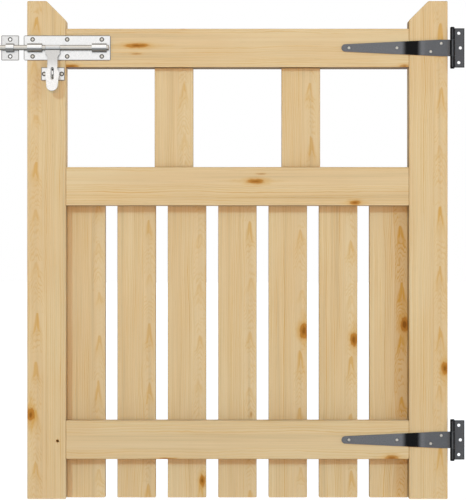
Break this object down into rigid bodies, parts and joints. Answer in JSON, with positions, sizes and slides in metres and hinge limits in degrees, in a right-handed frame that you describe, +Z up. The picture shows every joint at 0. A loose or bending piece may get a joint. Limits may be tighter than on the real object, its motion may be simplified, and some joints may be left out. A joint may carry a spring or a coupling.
{
  "type": "framed wooden garden gate",
  "caption": "Framed softwood garden gate with an open window row over spaced slats, hung on black T hinges and closed by a padbolt with hasp, staple and keep.",
  "frame": {"origin": "on the back face of the bottom hinge plate, at mid height of the hinge, 8 mm outboard of the pin axis; the two post faces lie in the plane y = 0, which is also the front face of the leaf", "axes": "+X from the latch side to the hinge side, +Y from the front to the back, +Z up"},
  "size_m": [0.84, 0.0732, 0.9],
  "materials": {
    "pine": "planed softwood, clear, with knots and reddish heartwood streaks",
    "black_steel": "satin black coating over sheet steel",
    "bright_steel": "bright zinc plate"
  },
  "bodies": {
    "post_side": {"hinge_plate_top": "black_steel", "hinge_plate_bottom": "black_steel", "hinge_pin_top": "black_steel", "hinge_pin_bottom": "black_steel", "keep_plate": "bright_steel", "keep_band": "bright_steel"},
    "leaf": {"latch_stile": "pine", "hinge_stile": "pine", "top_rail": "pine", "middle_rail": "pine", "bottom_rail": "pine", "muntin_left": "pine", "muntin_right": "pine", "slat_1": "pine", "slat_2": "pine", "slat_3": "pine", "slat_4": "pine", "slat_5": "pine", "slat_6": "pine", "slat_7": "pine", "hinge_strap_top": "black_steel", "hinge_strap_bottom": "black_steel", "bolt_plate": "bright_steel", "bolt_guide_outer": "bright_steel", "bolt_guide_inner": "bright_steel", "staple_plate": "bright_steel", "staple": "bright_steel"},
    "bolt": {"bolt_rod": "bright_steel"},
    "hasp_arm": {"hasp": "bright_steel"}
  },
  "joints": [
    {"name": "gate_swing", "type": "hinge", "parent": "post_side", "child": "leaf", "pos_m": [-0.008, -0.0041, 0], "axis": [0, 0, 1], "range_deg": [0, 170]},
    {"name": "bolt_slide", "type": "slide", "parent": "leaf", "child": "bolt", "axis": [1, 0, 0], "range_m": [0, 0.052]},
    {"name": "hasp_lift", "type": "hinge", "parent": "bolt", "child": "hasp_arm", "pos_m": [-0.72925, -0.00685, 0.708], "axis": [-1, 0, 0], "range_deg": [-16, 149]}
  ]
}
